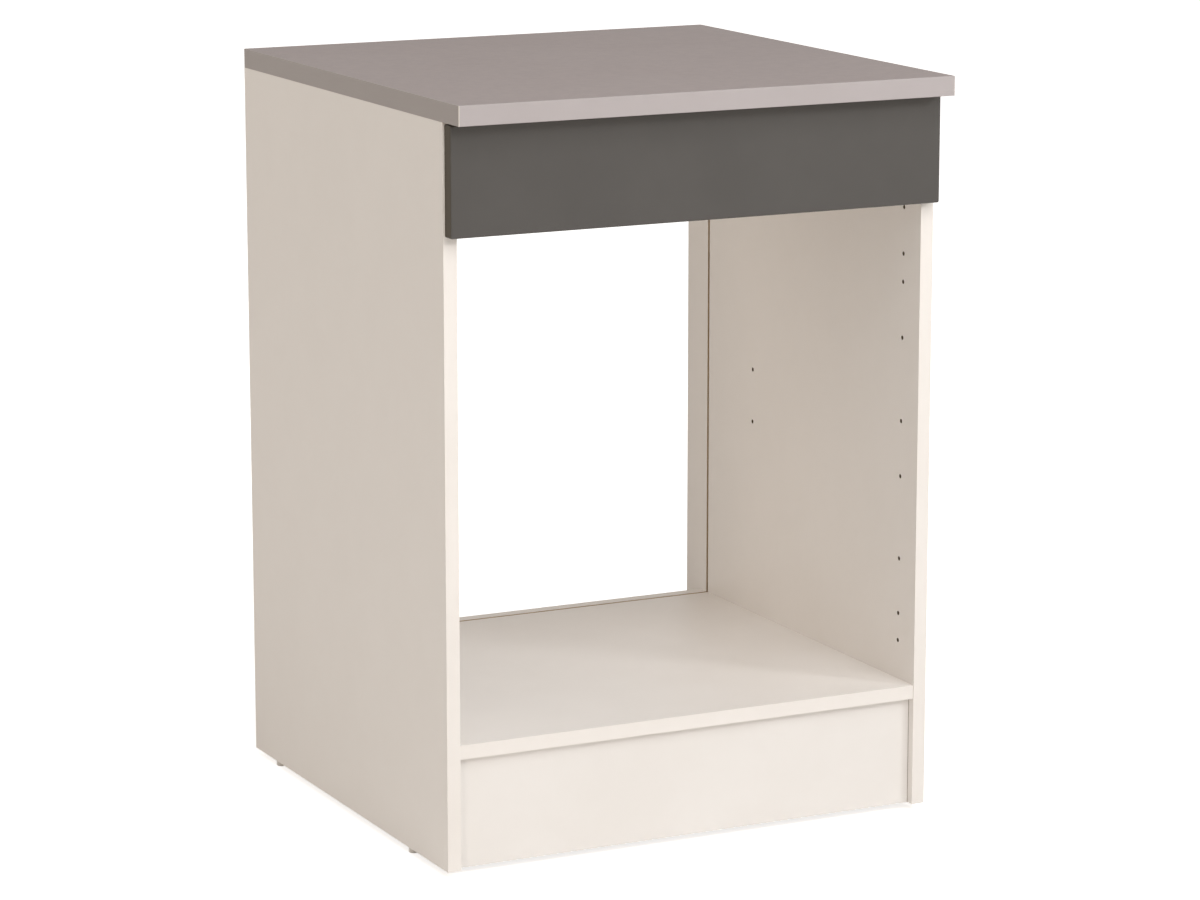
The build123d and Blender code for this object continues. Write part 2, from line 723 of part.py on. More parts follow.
with BuildPart() as glide:
    Cylinder(radius=glide_diameter / 2, height=glide_height, align=(Align.CENTER, Align.CENTER, Align.MIN))
    fillet(glide.edges().group_by(Axis.Z)[0], radius=glide_edge_radius)
    with BuildSketch(Plane.XY.offset(nail_head_height)):
        Circle(nail_hole_diameter / 2)
    extrude(amount=glide_height - nail_head_height, mode=Mode.SUBTRACT)
    with BuildSketch(Plane.XY.offset(nail_head_height - nail_clearance)):
        Circle(nail_head_diameter / 2 + nail_clearance)
    extrude(amount=nail_head_thickness + 2 * nail_clearance, mode=Mode.SUBTRACT)

glide_planes = {}
for side_name, side in SIDES.items():
    front_point, rear_point = glide_points(side)
    glide_planes[f"glide_front_{side_name}"] = Plane(origin=(front_point[0], front_point[1], 0))
    glide_planes[f"glide_rear_{side_name}"] = Plane(origin=(rear_point[0], rear_point[1], 0))
for label, plane in glide_planes.items():
    export_copies(label, glide.part, [plane])
export_copies("glide_nails", nail.part, list(glide_planes.values()))
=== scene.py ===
import math

import bmesh
import bpy
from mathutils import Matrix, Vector


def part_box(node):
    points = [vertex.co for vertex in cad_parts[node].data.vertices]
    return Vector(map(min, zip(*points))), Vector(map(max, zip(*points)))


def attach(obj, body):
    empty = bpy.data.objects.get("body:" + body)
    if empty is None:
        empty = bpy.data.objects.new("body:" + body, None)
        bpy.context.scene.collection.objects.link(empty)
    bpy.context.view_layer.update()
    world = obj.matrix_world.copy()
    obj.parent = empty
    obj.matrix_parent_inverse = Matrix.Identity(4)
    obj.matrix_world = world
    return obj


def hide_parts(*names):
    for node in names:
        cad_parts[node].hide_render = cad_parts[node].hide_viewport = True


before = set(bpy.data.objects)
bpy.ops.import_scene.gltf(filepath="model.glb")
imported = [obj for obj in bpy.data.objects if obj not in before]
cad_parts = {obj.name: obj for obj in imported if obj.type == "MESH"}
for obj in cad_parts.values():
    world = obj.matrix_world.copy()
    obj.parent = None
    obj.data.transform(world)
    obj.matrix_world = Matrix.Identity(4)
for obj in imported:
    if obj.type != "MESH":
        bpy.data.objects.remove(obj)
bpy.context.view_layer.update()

# Camera
# The unit is seen from its front left corner, from a little above the worktop, with a long lens.
# The lens has no shift, so that the other views stay centred.

camera_data = bpy.data.cameras.new("camera")
camera_data.lens = 126.10
camera_data.sensor_width = 36.0
camera_data.clip_end = 100.0
camera = bpy.data.objects.new("camera", camera_data)
camera.location = (-2.1023, -4.2514, 1.3917)
camera.rotation_euler = (math.radians(78.208), 0.0, math.radians(-26.451))
bpy.context.scene.collection.objects.link(camera)
bpy.context.scene.camera = camera

# Side panels
# The two sides are 16 mm chipboard pressed between sheets of white melamine paper. Each is sawn to
# size, drilled and grooved, so its sawn edges, holes and groove show the raw chips, and only its
# front edge is banded.


def paint(red, green, blue):
    """A colour given as it looks on a screen, from 0 to 255, as Blender's linear colour."""
    linear = []
    for share in (red / 255, green / 255, blue / 255):
        linear.append(share / 12.92 if share <= 0.04045 else ((share + 0.055) / 1.055) ** 2.4)
    return (*linear, 1.0)


def add_node(tree, kind, inputs=None, **settings):
    """Add a node, set its settings, and give each input a value or another node's output."""
    made = tree.nodes.new(kind)
    for name, value in settings.items():
        setattr(made, name, value)
    for name, value in (inputs or {}).items():
        if isinstance(value, bpy.types.NodeSocket):
            tree.links.new(value, made.inputs[name])
        else:
            made.inputs[name].default_value = value
    return made


def calculate(tree, operation, *values):
    """A Math node's result."""
    return add_node(tree, "ShaderNodeMath", dict(enumerate(values)), operation=operation).outputs[0]


def blend_colours(tree, share, first, second, kind="MIX"):
    """The first colour turned into the second by a share from 0 to 1."""
    inputs = {0: share, 6: first, 7: second}
    return add_node(tree, "ShaderNodeMix", inputs, data_type="RGBA", blend_type=kind).outputs[2]


def spread(tree, value, low, high, to_low=0.0, to_high=1.0):
    """A value taken smoothly from one range to another, and held at its ends."""
    inputs = {"Value": value, "From Min": low, "From Max": high, "To Min": to_low, "To Max": to_high}
    return add_node(tree, "ShaderNodeMapRange", inputs, interpolation_type="SMOOTHSTEP").outputs["Result"]


def cloud(tree, position, scale, detail=3.0, roughness=0.55):
    """Noise with features about one over the scale long, in metres."""
    inputs = {"Vector": position, "Scale": scale, "Detail": detail, "Roughness": roughness}
    return add_node(tree, "ShaderNodeTexNoise", inputs).outputs["Fac"]


def stretch(tree, position, scales):
    """A position scaled along each axis: a pattern drawn with it is long where the scale is small."""
    scaled = add_node(tree, "ShaderNodeVectorMath", {0: position, 1: scales}, operation="MULTIPLY")
    return scaled.outputs[0]


def new_group(name, inputs, outputs):
    """An empty shader group with named inputs, each with its kind and value, and named outputs."""
    group = bpy.data.node_groups.new(name, "ShaderNodeTree")
    for socket_name, (kind, value) in inputs.items():
        socket = group.interface.new_socket(socket_name, in_out="INPUT", socket_type="NodeSocket" + kind)
        if value is not None:
            socket.default_value = value
    for socket_name, kind in outputs.items():
        group.interface.new_socket(socket_name, in_out="OUTPUT", socket_type="NodeSocket" + kind)
    entry = group.nodes.new("NodeGroupInput")
    leave = group.nodes.new("NodeGroupOutput")
    return group, entry.outputs, leave.inputs


# Raw chipboard: coarse flakes in the core and fine dust towards both faces.
chipboard, inside, result = new_group(
    "chipboard",
    {"Position": ("Vector", None), "From Middle": ("Float", 0.0)},
    {"Color": "Color", "Height": "Float"},
)
flake_place = stretch(chipboard, inside["Position"], (1.0, 0.55, 1.0))
flakes = add_node(chipboard, "ShaderNodeTexVoronoi",
                  {"Vector": flake_place, "Scale": 520.0, "Randomness": 1.0})
fine_flakes = add_node(chipboard, "ShaderNodeTexVoronoi", {"Vector": inside["Position"], "Scale": 1700.0})
depth = calculate(chipboard, "ABSOLUTE", inside["From Middle"])
near_face = spread(chipboard, depth, 0.45, 0.75)
core_tone = calculate(chipboard, "FRACT", calculate(chipboard, "MULTIPLY", flakes.outputs["Color"], 3.0))
face_tone = calculate(chipboard, "FRACT", calculate(chipboard, "MULTIPLY", fine_flakes.outputs["Color"], 3.0))
core_colour = blend_colours(chipboard, core_tone, paint(166, 142, 110), paint(214, 194, 162))
face_colour = blend_colours(chipboard, face_tone, paint(190, 168, 137), paint(208, 188, 158))
flake_colour = blend_colours(chipboard, near_face, core_colour, face_colour)
pores = spread(chipboard, cloud(chipboard, inside["Position"], 900.0, 2.0), 0.30, 0.42)
pore_share = calculate(chipboard, "MAXIMUM", pores, near_face)
chip_colour = blend_colours(chipboard, pore_share, paint(112, 90, 66), flake_colour)
chipboard.links.new(chip_colour, result["Color"])
chip_height = calculate(chipboard, "MULTIPLY", pore_share, calculate(chipboard, "ADD", core_tone, 0.6))
chipboard.links.new(chip_height, result["Height"])

# Melamine paper pressed on a finely pearled plate, with the faint clouds that handling leaves.
melamine, inside, result = new_group(
    "melamine",
    {"Position": ("Vector", None), "Colour": ("Color", (0.8, 0.8, 0.8, 1.0))},
    {"Color": "Color", "Roughness": "Float", "Height": "Float"},
)
handling = cloud(melamine, inside["Position"], 7.0, 4.0, 0.6)
pearl = cloud(melamine, inside["Position"], 1100.0, 2.0)
handled = spread(melamine, handling, 0.3, 0.7)
tint = blend_colours(melamine, handled, (0.972, 0.968, 0.962, 1.0), (1.0, 1.0, 1.0, 1.0))
paper = blend_colours(melamine, 1.0, inside["Colour"], tint, "MULTIPLY")
melamine.links.new(paper, result["Color"])
sheen = calculate(melamine, "ADD", spread(melamine, handling, 0.3, 0.7, 0.48, 0.54),
                  spread(melamine, pearl, 0.3, 0.7, -0.02, 0.02))
melamine.links.new(sheen, result["Roughness"])
melamine.links.new(pearl, result["Height"])

# A faced board is melamine on its two faces, and raw chips wherever it is cut between them.
faced_board, inside, result = new_group(
    "faced_board",
    {"Position": ("Vector", None), "From Middle": ("Float", 0.0), "Half Thickness": ("Float", 0.008),
     "Colour": ("Color", (0.8, 0.8, 0.8, 1.0)), "Drilled": ("Float", 0.0)},
    {"Color": "Color", "Roughness": "Float", "Height": "Float"},
)
layer_share = calculate(faced_board, "DIVIDE", inside["From Middle"], inside["Half Thickness"])
cut = spread(faced_board, calculate(faced_board, "ABSOLUTE", layer_share), 0.985, 0.970)
chips = add_node(faced_board, "ShaderNodeGroup", node_tree=chipboard)
face = add_node(faced_board, "ShaderNodeGroup", node_tree=melamine)
for made in (chips, face):
    faced_board.links.new(inside["Position"], made.inputs["Position"])
faced_board.links.new(layer_share, chips.inputs["From Middle"])
faced_board.links.new(inside["Colour"], face.inputs["Colour"])
# Where the hole shade input is set, the raw chips darken towards near black: painted shade inside the holes.
painted_hole_shade = calculate(faced_board, "MULTIPLY", inside["Drilled"], 0.75)
cut_colour = blend_colours(faced_board, painted_hole_shade, chips.outputs["Color"], (0.02, 0.015, 0.01, 1.0))
board_colour = blend_colours(faced_board, cut, face.outputs["Color"], cut_colour)
faced_board.links.new(board_colour, result["Color"])
raw_sheen = calculate(faced_board, "MULTIPLY", cut, 0.9)
board_sheen = calculate(faced_board, "MAXIMUM", face.outputs["Roughness"], raw_sheen)
faced_board.links.new(board_sheen, result["Roughness"])
cut_depth = calculate(faced_board, "MULTIPLY", cut, 12.0)
cut_relief = calculate(faced_board, "MULTIPLY", chips.outputs["Height"], cut_depth)
faced_board.links.new(calculate(faced_board, "ADD", face.outputs["Height"], cut_relief), result["Height"])


def new_material(name):
    """A material with a Principled shader, and the Object coordinates of the piece it is on."""
    material = bpy.data.materials.new(name)
    material.use_nodes = True
    tree = material.node_tree
    shader = tree.nodes["Principled BSDF"]
    position = add_node(tree, "ShaderNodeTexCoord").outputs["Object"]
    return material, tree, shader, position


fine_relief = 0.00001


def add_relief(tree, shader, height, relief):
    """Lead a height to the shader, as relief of a depth in metres."""
    bump = add_node(tree, "ShaderNodeBump", {"Height": height, "Distance": relief})
    tree.links.new(bump.outputs["Normal"], shader.inputs["Normal"])


def use_group(tree, shader, group, inputs, relief=fine_relief):
    """Place a group in a material and lead its colour, roughness and height to the shader."""
    placed = add_node(tree, "ShaderNodeGroup", node_tree=group)
    for name, value in inputs.items():
        if isinstance(value, bpy.types.NodeSocket):
            tree.links.new(value, placed.inputs[name])
        else:
            placed.inputs[name].default_value = value
    tree.links.new(placed.outputs["Color"], shader.inputs["Base Color"])
    tree.links.new(placed.outputs["Roughness"], shader.inputs["Roughness"])
    add_relief(tree, shader, placed.outputs["Height"], relief)
    return placed


def axis_value(tree, position, axis):
    """One coordinate of a position."""
    return add_node(tree, "ShaderNodeSeparateXYZ", {0: position}).outputs[axis]


half_board = 0.008
side_white = paint(233, 229, 225)
# The bottom panel's white is the same board's white made a little lighter: painted light.
lightened_shelf_white = paint(238, 234, 230)


def board_material(name, axis, middle, mirrored=False, colour=side_white):
    """White faced board whose thickness runs along an axis about a middle, at one side or both."""
    material, tree, shader, position = new_material(name)
    along = axis_value(tree, position, axis)
    if mirrored:
        along = calculate(tree, "ABSOLUTE", along)
    board = use_group(tree, shader, faced_board, {
        "Position": position,
        "From Middle": calculate(tree, "SUBTRACT", along, middle),
        "Half Thickness": half_board,
        "Colour": colour,
    })
    return material, board


def finish_node(name, material):
    """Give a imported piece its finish."""
    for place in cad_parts[name].material_slots:
        place.material = material


side_low, side_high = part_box("right_side_panel")
side_board, board = board_material("side_board", "X", (side_low.x + side_high.x) / 2, mirrored=True)
tree = side_board.node_tree
position = board.inputs["Position"].links[0].from_socket
hole_height = axis_value(tree, position, "Z")
hole_place = axis_value(tree, position, "Y")
sawn_edge, groove_front = 0.001, 0.242
# The holes in front of the groove get painted shade: their raw chips are darkened.
above_foot = calculate(tree, "GREATER_THAN", hole_height, side_low.z + sawn_edge)
below_top = calculate(tree, "LESS_THAN", hole_height, side_high.z - sawn_edge)
before_groove = calculate(tree, "LESS_THAN", hole_place, groove_front)
hole_shade_mask = calculate(tree, "MULTIPLY", calculate(tree, "MULTIPLY", above_foot, below_top), before_groove)
tree.links.new(hole_shade_mask, board.inputs["Drilled"])
for side in ("left", "right"):
    finish_node(f"{side}_side_panel", side_board)

# Edge bands of the carcass
# Thin white bands are ironed on the front edges of the sides and the bottom panel, and on the
# inner edges of the rails. They are a little smoother and brighter than the faces, and a hair of
# glue shows behind them.

edge_strip, inside, result = new_group(
    "edge_strip",
    {"Position": ("Vector", None), "Colour": ("Color", (0.8, 0.8, 0.8, 1.0)),
     "Lengthways": ("Vector", (1.0, 1.0, 1.0)), "From Joint": ("Float", 1.0), "Painted Highlight": ("Float", 0.0)},
    {"Color": "Color", "Roughness": "Float", "Height": "Float"},
)
drawn = stretch(edge_strip, inside["Position"], inside["Lengthways"])
streaks = cloud(edge_strip, drawn, 1500.0, 2.0)
handling = cloud(edge_strip, inside["Position"], 9.0, 3.0)
handled = spread(edge_strip, handling, 0.3, 0.7)
tint = blend_colours(edge_strip, handled, (0.975, 0.972, 0.968, 1.0), (1.0, 1.0, 1.0, 1.0))
strip_colour = blend_colours(edge_strip, 1.0, inside["Colour"], tint, "MULTIPLY")
glue_outer, glue_inner = 0.00012, 0.00005
glue = spread(edge_strip, inside["From Joint"], glue_outer, glue_inner)
strip_colour = blend_colours(edge_strip, glue, strip_colour, paint(150, 128, 100))
# Where the highlight input is set, the strip turns pale: a painted highlight on its arris.
strip_colour = blend_colours(edge_strip, inside["Painted Highlight"], strip_colour, paint(222, 216, 210))
edge_strip.links.new(strip_colour, result["Color"])
edge_strip.links.new(spread(edge_strip, streaks, 0.3, 0.7, 0.45, 0.52), result["Roughness"])
edge_strip.links.new(streaks, result["Height"])


highlight_fade = 0.0003


def band_material(name, colour, lengthways, axis, joint, mirrored=False, gloss=0.5, highlight_from=None):
    """A strip drawn along one axis, glued on at a joint that lies at a value of another axis.

    Its ends carry a pale painted highlight where they lie further from the middle than the given distance.
    """
    material, tree, shader, position = new_material(name)
    shader.inputs["Specular IOR Level"].default_value = gloss
    along = axis_value(tree, position, axis)
    if mirrored:
        along = calculate(tree, "ABSOLUTE", along)
    inputs = {
        "Position": position,
        "Colour": colour,
        "Lengthways": lengthways,
        "From Joint": calculate(tree, "ABSOLUTE", calculate(tree, "SUBTRACT", along, joint)),
    }
    if highlight_from is not None:
        from_middle = calculate(tree, "ABSOLUTE", axis_value(tree, position, "X"))
        inputs["Painted Highlight"] = spread(tree, from_middle, highlight_from, highlight_from + highlight_fade)
    use_group(tree, shader, edge_strip, inputs)
    return material


def glued_strip(node, material, axis, side, rounding):
    """A strip in the place of a packed one, with the edges of its outer face eased."""
    low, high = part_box(node)
    shape = bmesh.new()
    bmesh.ops.create_cube(shape, size=1.0)
    for corner in shape.verts:
        corner.co = Vector(low[i] + (corner.co[i] + 0.5) * (high[i] - low[i]) for i in range(3))
    outer = (high if side > 0 else low)[axis]
    eased = [edge for edge in shape.edges if all(abs(end.co[axis] - outer) < 1e-6 for end in edge.verts)]
    bmesh.ops.bevel(shape, geom=eased, offset=rounding, segments=3, profile=0.5, affect="EDGES")
    bmesh.ops.recalc_face_normals(shape, faces=shape.faces)
    mesh = bpy.data.meshes.new("eased_" + node)
    shape.to_mesh(mesh)
    shape.free()
    mesh.materials.append(material)
    strip = bpy.data.objects.new("eased_" + node, mesh)
    bpy.context.scene.collection.objects.link(strip)
    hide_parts(node)
    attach(strip, "carcass")


band_white = paint(236, 231, 226)
thin_band_easing = 0.00025
upright_band = band_material("upright_band", band_white, (1.0, 1.0, 0.02), "Y", side_low.y)
for side in ("left", "right"):
    glued_strip(f"{side}_side_edge_band", upright_band, 1, -1, thin_band_easing)
for node, joint, side in (("bottom_panel_edge_band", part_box("bottom_panel")[0].y, -1),
                          ("front_rail_edge_band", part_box("front_top_rail")[1].y, 1),
                          ("rear_rail_edge_band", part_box("rear_top_rail")[0].y, -1)):
    level_band = band_material(node, band_white, (0.02, 1.0, 1.0), "Y", joint)
    glued_strip(node, level_band, 1, side, thin_band_easing)

# Bottom panel, plinth board and rails
# Boards of the same faced chipboard lie between the sides: the bottom panel that carries the oven,
# the plinth board under its front edge, whose ends carry a thin dark line beside the sides, partly the
# raw sawn edge and partly painted shade of the gap there, and two flat rails under the worktop.


def middle_of(name, axis):
    """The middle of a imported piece's box along X (0), Y (1) or Z (2)."""
    low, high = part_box(name)
    return (low[axis] + high[axis]) / 2


bottom_board = board_material("bottom_board", "Z", middle_of("bottom_panel", 2), colour=lightened_shelf_white)[0]
finish_node("bottom_panel", bottom_board)
plinth_face, board = board_material("plinth_face", "Y", middle_of("plinth_board", 1))
tree = plinth_face.node_tree
position = board.inputs["Position"].links[0].from_socket
from_middle = calculate(tree, "ABSOLUTE", axis_value(tree, position, "X"))
plinth_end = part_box("plinth_board")[1].x
# A thin dark line at each end of the plinth: partly its raw sawn edge, partly painted shade of the gap beside
# the sides.
line_from, line_to = 0.0007, 0.0004
edge_and_gap_shade = spread(tree, from_middle, plinth_end - line_from, plinth_end - line_to)
lined = blend_colours(tree, edge_and_gap_shade, board.outputs["Color"], paint(118, 102, 86))
tree.links.new(lined, tree.nodes["Principled BSDF"].inputs["Base Color"])
finish_node("plinth_board", plinth_face)
rail_board = board_material("rail_board", "Z", middle_of("front_top_rail", 2))[0]
finish_node("front_top_rail", rail_board)
finish_node("rear_top_rail", rail_board)

# Worktop
# A chipboard core is pressed between a stone-grey laminate and a brown balancing sheet. A thick
# light band closes its front and thinner grey bands its ends; the edge at the wall stays raw.

core_material, tree, shader, position = new_material("worktop_core")
core_low, core_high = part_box("worktop_core")
layer = calculate(tree, "SUBTRACT", axis_value(tree, position, "Z"), (core_low.z + core_high.z) / 2)
layer_share = calculate(tree, "DIVIDE", layer, (core_high.z - core_low.z) / 2)
raw_chips = add_node(tree, "ShaderNodeGroup", node_tree=chipboard)
tree.links.new(position, raw_chips.inputs["Position"])
tree.links.new(layer_share, raw_chips.inputs["From Middle"])
tree.links.new(raw_chips.outputs["Color"], shader.inputs["Base Color"])
add_relief(tree, shader, raw_chips.outputs["Height"], 0.0001)
shader.inputs["Roughness"].default_value = 0.9
finish_node("worktop_core", core_material)

laminate, tree, shader, position = new_material("stone_grey_laminate")
mottle = cloud(tree, position, 90.0, 6.0, 0.62)
grains = cloud(tree, position, 700.0, 3.0, 0.6)
stone = blend_colours(tree, spread(tree, mottle, 0.30, 0.70), paint(147, 137, 135), paint(152, 141, 139))
speck = spread(tree, grains, 0.30, 0.72, 0.955, 1.03)
speckled = add_node(tree, "ShaderNodeVectorMath", {0: stone, 3: speck}, operation="SCALE").outputs[0]
tree.links.new(speckled, shader.inputs["Base Color"])
wiped = cloud(tree, position, 6.0, 4.0)
tree.links.new(spread(tree, wiped, 0.3, 0.7, 0.58, 0.60), shader.inputs["Roughness"])
shader.inputs["Specular IOR Level"].default_value = 0.25
add_relief(tree, shader, grains, fine_relief)
finish_node("worktop_laminate", laminate)

backing, tree, shader, position = new_material("balancing_sheet")
fibres = cloud(tree, stretch(tree, position, (1.0, 0.15, 1.0)), 600.0, 4.0)
kraft = blend_colours(tree, spread(tree, fibres, 0.3, 0.7), paint(158, 136, 112), paint(176, 154, 128))
tree.links.new(kraft, shader.inputs["Base Color"])
shader.inputs["Roughness"].default_value = 0.7
finish_node("worktop_backing_sheet", backing)

front_band_easing = 0.0006
end_band_easing = 0.0003
highlight_width = 0.0009
# The front band's ends carry a pale painted highlight on their eased arris.
front_band = band_material("front_band", paint(175, 168, 168), (0.02, 1.0, 1.0), "Y", core_low.y, gloss=0.3,
                           highlight_from=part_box("worktop_front_band")[1].x - highlight_width)
glued_strip("worktop_front_band", front_band, 1, -1, front_band_easing)
end_band = band_material("end_band", paint(157, 150, 147), (1.0, 0.02, 1.0), "X", core_high.x,
                         mirrored=True, gloss=0.3)
for side, outward in (("left", -1), ("right", 1)):
    glued_strip(f"worktop_{side}_band", end_band, 0, outward, end_band_easing)

# Fascia
# The board above the oven's opening is wrapped in dark grey foil over its rounded front edges.
# Its ends are closed with a duller, browner strip, and its rear face is plain white.

foil, tree, shader, position = new_material("fascia_foil")
fascia_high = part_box("fascia")[1]
grain = cloud(tree, position, 1300.0, 2.0)
breath = cloud(tree, position, 8.0, 4.0)
dark = blend_colours(tree, spread(tree, breath, 0.3, 0.7), paint(72, 69, 66), paint(76, 73, 70))
foil_from, foil_to = 0.0004, 0.0002
rear_face = spread(tree, axis_value(tree, position, "Y"),
                   fascia_high.y - foil_from, fascia_high.y - foil_to)
from_middle = calculate(tree, "ABSOLUTE", axis_value(tree, position, "X"))
end_face = spread(tree, from_middle, fascia_high.x - foil_from, fascia_high.x - foil_to)
dark = blend_colours(tree, end_face, dark, paint(71, 64, 53))
tree.links.new(blend_colours(tree, rear_face, dark, paint(232, 225, 216)), shader.inputs["Base Color"])
satin = spread(tree, breath, 0.3, 0.7, 0.46, 0.52)
dull_end = calculate(tree, "MULTIPLY", end_face, 0.75)
tree.links.new(calculate(tree, "MAXIMUM", satin, dull_end), shader.inputs["Roughness"])
shader.inputs["Specular IOR Level"].default_value = 0.35
add_relief(tree, shader, grain, fine_relief)
finish_node("fascia", foil)

# Fascia brackets
# Two folded steel angles hold the fascia to the sides. They are stamped from sheet and coated with
# bright zinc, and each is held by four screws.

zinc, inside, result = new_group(
    "zinc_coat",
    {"Position": ("Vector", None), "Colour": ("Color", (0.6, 0.6, 0.6, 1.0)),
     "Drawn": ("Vector", (1.0, 1.0, 1.0))},
    {"Color": "Color", "Roughness": "Float", "Height": "Float"},
)
patches = cloud(zinc, inside["Position"], 260.0, 3.0)
lines = cloud(zinc, stretch(zinc, inside["Position"], inside["Drawn"]), 2500.0, 2.0)
coat = blend_colours(zinc, spread(zinc, patches, 0.35, 0.65), (0.93, 0.95, 1.0, 1.0), (1.0, 0.985, 0.94, 1.0))
zinc.links.new(blend_colours(zinc, 1.0, inside["Colour"], coat, "MULTIPLY"), result["Color"])
zinc.links.new(spread(zinc, lines, 0.3, 0.7, 0.26, 0.40), result["Roughness"])
zinc.links.new(lines, result["Height"])


def zinc_material(name, colour, drawn):
    """Zinc-plated steel, with its drawing or rolling lines stretched along one axis."""
    material, tree, shader, position = new_material(name)
    shader.inputs["Metallic"].default_value = 1.0
    use_group(tree, shader, zinc, {"Position": position, "Colour": colour, "Drawn": drawn})
    return material


bracket_steel = zinc_material("bracket_steel", paint(196, 197, 199), (1.0, 1.0, 0.05))
for side in ("left", "right"):
    finish_node(f"fascia_bracket_{side}", bracket_steel)

# Screws
# Chipboard screws with a domed head, a cross recess and a deep thread, rolled from wire and zinc
# plated. They hold the brackets, the worktop and the corner blocks.


def new_shape(name, sizes):
    """An empty Geometry Nodes tree that places a piece at each seat, with a named input for each size."""
    tree = bpy.data.node_groups.new(name, "GeometryNodeTree")
    tree.interface.new_socket("Seats", in_out="INPUT", socket_type="NodeSocketGeometry")
    for size_name, value in sizes.items():
        socket = tree.interface.new_socket(size_name, in_out="INPUT", socket_type="NodeSocketFloat")
        socket.default_value = value
    tree.interface.new_socket("Finish", in_out="INPUT", socket_type="NodeSocketMaterial")
    tree.interface.new_socket("Pieces", in_out="OUTPUT", socket_type="NodeSocketGeometry")
    entry = tree.nodes.new("NodeGroupInput")
    leave = tree.nodes.new("NodeGroupOutput")
    return tree, entry.outputs, leave.inputs


def wrapped_sheet(tree, rows, around):
    """A flat sheet of points to wrap, with each point's share along it and its angle."""
    size = {"Size X": 1.0, "Size Y": 1.0, "Vertices X": rows, "Vertices Y": around}
    grid = add_node(tree, "GeometryNodeMeshGrid", size)
    position = add_node(tree, "GeometryNodeInputPosition").outputs[0]
    place = add_node(tree, "ShaderNodeSeparateXYZ", {0: position})
    share = calculate(tree, "ADD", place.outputs["X"], 0.5)
    angle = calculate(tree, "MULTIPLY", place.outputs["Y"], 2 * math.pi)
    return grid.outputs["Mesh"], share, angle


def wrap(tree, sheet, radius, angle, height):
    """The sheet wrapped about Z, at a radius and height for each point, and welded shut."""
    spot = add_node(tree, "ShaderNodeCombineXYZ", {
        "X": calculate(tree, "MULTIPLY", radius, calculate(tree, "COSINE", angle)),
        "Y": calculate(tree, "MULTIPLY", radius, calculate(tree, "SINE", angle)),
        "Z": height,
    }).outputs[0]
    moved = add_node(tree, "GeometryNodeSetPosition", {"Geometry": sheet, "Position": spot})
    welded = add_node(tree, "GeometryNodeMergeByDistance",
                      {"Geometry": moved.outputs["Geometry"], "Distance": 0.000002})
    return add_node(tree, "GeometryNodeFlipFaces", {"Mesh": welded.outputs["Geometry"]}).outputs["Mesh"]


def steps_along(tree, share, steps):
    """A value that goes through evenly spaced steps, in straight runs, as the share goes from 0 to 1."""
    made = add_node(tree, "ShaderNodeFloatCurve", {"Value": share})
    points = made.mapping.curves[0].points
    points[0].location = (0.0, steps[0])
    points[1].location = (1.0, steps[-1])
    for place in range(1, len(steps) - 1):
        points.new(place / (len(steps) - 1), steps[place])
    for point in points:
        point.handle_type = "VECTOR"
    made.mapping.update()
    return made.outputs["Value"]


def turned(tree, outline, radius, length, around=33):
    """A turned shape from 9 or 17 outline points, each a share of the radius and of the length."""
    sheet, share, angle = wrapped_sheet(tree, len(outline), around)
    wide = calculate(tree, "MULTIPLY", steps_along(tree, share, [point[0] for point in outline]), radius)
    tall = calculate(tree, "MULTIPLY", steps_along(tree, share, [point[1] for point in outline]), length)
    return wrap(tree, sheet, wide, angle, tall)


def threaded(tree, radius, groove, pitch, length, tip, helical=True):
    """A pointed shank from Z = 0 up, with a thread or, where it isn't helical, with rings."""
    turns = calculate(tree, "CEIL", calculate(tree, "DIVIDE", length, pitch))
    sheet, share, angle = wrapped_sheet(tree, calculate(tree, "MULTIPLY", turns, 8.0), 17)
    height = calculate(tree, "MULTIPLY", share, length)
    wound = calculate(tree, "DIVIDE", height, pitch)
    if helical:
        wound = calculate(tree, "ADD", wound, calculate(tree, "DIVIDE", angle, 2 * math.pi))
    off_crest = calculate(tree, "MULTIPLY", calculate(tree, "PINGPONG", wound, 0.5), 2.0)
    flank = {"Value": off_crest, "From Min": 0.05, "From Max": 0.55}
    cut = calculate(tree, "MULTIPLY", add_node(tree, "ShaderNodeMapRange", flank).outputs["Result"], groove)
    point = {"Value": height, "From Min": calculate(tree, "SUBTRACT", length, tip), "From Max": length,
             "To Min": 1.0, "To Max": 0.0}
    narrowing = add_node(tree, "ShaderNodeMapRange", point).outputs["Result"]
    # The first row closes on the axis. Rounding can leave its share a little above 0.
    past_first_row = calculate(tree, "GREATER_THAN", share, 0.0001)
    closed = calculate(tree, "MULTIPLY", narrowing, past_first_row)
    wide = calculate(tree, "MULTIPLY", calculate(tree, "SUBTRACT", radius, cut), closed)
    return wrap(tree, sheet, wide, angle, height)


def place_at_seats(tree, entry, leave, parts):
    """Join the parts, turn their Z along each seat's direction, and give them their finish."""
    joined = add_node(tree, "GeometryNodeJoinGeometry")
    for part in reversed(parts):
        tree.links.new(part, joined.inputs[0])
    direction = add_node(tree, "GeometryNodeInputNamedAttribute", {"Name": "direction"},
                         data_type="FLOAT_VECTOR")
    turn = add_node(tree, "FunctionNodeAlignRotationToVector",
                    {"Vector": direction.outputs["Attribute"]}, axis="Z")
    placed = add_node(tree, "GeometryNodeInstanceOnPoints", {
        "Points": entry["Seats"], "Instance": joined.outputs[0], "Rotation": turn.outputs[0]})
    real = add_node(tree, "GeometryNodeRealizeInstances", {"Geometry": placed.outputs[0]})
    finished = add_node(tree, "GeometryNodeSetMaterial",
                        {"Geometry": real.outputs[0], "Material": entry["Finish"]})
    tree.links.new(finished.outputs[0], leave["Pieces"])


